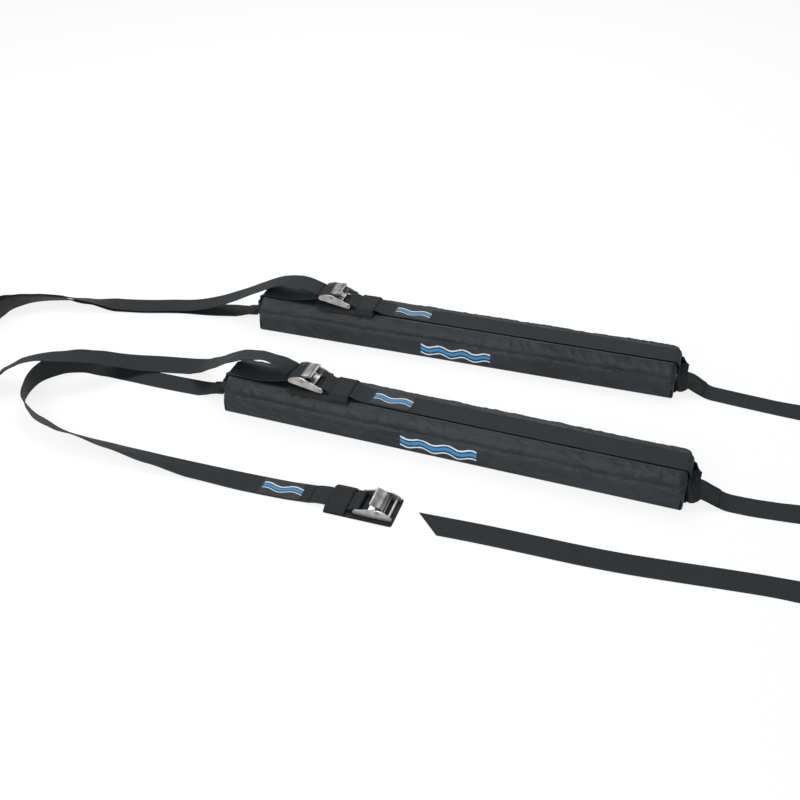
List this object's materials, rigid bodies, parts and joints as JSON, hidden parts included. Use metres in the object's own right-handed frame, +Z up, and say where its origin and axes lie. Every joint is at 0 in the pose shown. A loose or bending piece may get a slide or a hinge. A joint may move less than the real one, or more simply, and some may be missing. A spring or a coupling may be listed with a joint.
{
  "type": "soft roof rack",
  "caption": "Pair of soft roof rack pads: long padded bars with a cinched board strap, cam buckles on protective pads and car straps sewn to the ends.",
  "frame": {"origin": "on the ground, midway between the two bars, below the centre of their box", "axes": "+X along the bars towards their long car straps, +Y from the front bar to the back bar, +Z up from the ground"},
  "size_m": [2.006, 0.6532, 0.0848],
  "materials": {
    "cover": "coated nylon cloth, dark charcoal with a cool cast, finely crinkled, low sheen",
    "foam": "dense closed-cell foam, hidden in the cover",
    "webbing": "flat woven black webbing with fine ribs across",
    "pad": "black laminated fabric pad, matt, with soft edges",
    "nickel": "grey nickel-plated die-cast metal, satin",
    "steel": "plated steel bar, pin and spring wire"
  },
  "bodies": {
    "rack": {"front_cover": "cover", "front_foam_core": "foam", "front_board_strap": "webbing", "front_board_buckle_pad": "pad", "front_board_buckle_frame": "nickel", "front_board_buckle_anchor_bar": "steel", "front_board_buckle_pivot_pin": "steel", "front_board_buckle_spring": "steel", "front_car_strap_short_eye": "webbing", "front_car_strap_long_eye": "webbing", "front_car_strap_fold": "webbing", "front_car_buckle_pad": "pad", "front_car_buckle_frame": "nickel", "front_car_buckle_anchor_bar": "steel", "front_car_buckle_pivot_pin": "steel", "front_car_buckle_spring": "steel", "front_board_strap_tail": "webbing", "front_car_strap_short": "webbing", "front_car_strap_long": "webbing", "front_board_strap_coil": "webbing", "front_car_strap_coil": "webbing", "back_cover": "cover", "back_foam_core": "foam", "back_board_strap": "webbing", "back_board_buckle_pad": "pad", "back_board_buckle_frame": "nickel", "back_board_buckle_anchor_bar": "steel", "back_board_buckle_pivot_pin": "steel", "back_board_buckle_spring": "steel", "back_car_strap_short_eye": "webbing", "back_car_strap_long_eye": "webbing", "back_car_strap_fold": "webbing", "back_car_buckle_pad": "pad", "back_car_buckle_frame": "nickel", "back_car_buckle_anchor_bar": "steel", "back_car_buckle_pivot_pin": "steel", "back_car_buckle_spring": "steel", "back_board_strap_tail": "webbing", "back_car_strap_short": "webbing", "back_car_strap_long": "webbing", "back_board_strap_coil": "webbing", "back_car_strap_coil": "webbing", "front_car_strap_end": "webbing"},
    "front_board_lever": {"front_board_buckle_cam_lever": "nickel"},
    "back_board_lever": {"back_board_buckle_cam_lever": "nickel"},
    "front_car_lever": {"front_car_buckle_cam_lever": "nickel"},
    "back_car_lever": {"back_car_buckle_cam_lever": "nickel"}
  },
  "joints": [
    {"name": "front_board_lever_pivot", "type": "hinge", "parent": "rack", "child": "front_board_lever", "pos_m": [-0.19935, -0.11934, 0.07708], "axis": [0.0209, 0.9998, 0], "range_deg": [0, 38], "stiffness_Nm_per_rad": 0.05, "springref_deg": -45.84, "deforming": ["front_board_buckle_spring"]},
    {"name": "back_board_lever_pivot", "type": "hinge", "parent": "rack", "child": "back_board_lever", "pos_m": [-0.24535, 0.11934, 0.07708], "axis": [-0.0209, 0.9998, 0], "range_deg": [0, 38], "stiffness_Nm_per_rad": 0.05, "springref_deg": -45.84, "deforming": ["back_board_buckle_spring"]},
    {"name": "front_car_lever_pivot", "type": "hinge", "parent": "rack", "child": "front_car_lever", "pos_m": [-0.021, -0.296, 0.0142], "axis": [0, -1, 0], "range_deg": [0, 44], "stiffness_Nm_per_rad": 0.05, "springref_deg": -45.84, "deforming": ["front_car_buckle_spring"]},
    {"name": "back_car_lever_pivot", "type": "hinge", "parent": "rack", "child": "back_car_lever", "pos_m": [-1.077, -0.243, 0.0142], "axis": [0, 1, 0], "range_deg": [0, 44], "stiffness_Nm_per_rad": 0.05, "springref_deg": -45.84, "deforming": ["back_car_buckle_spring"]}
  ]
}
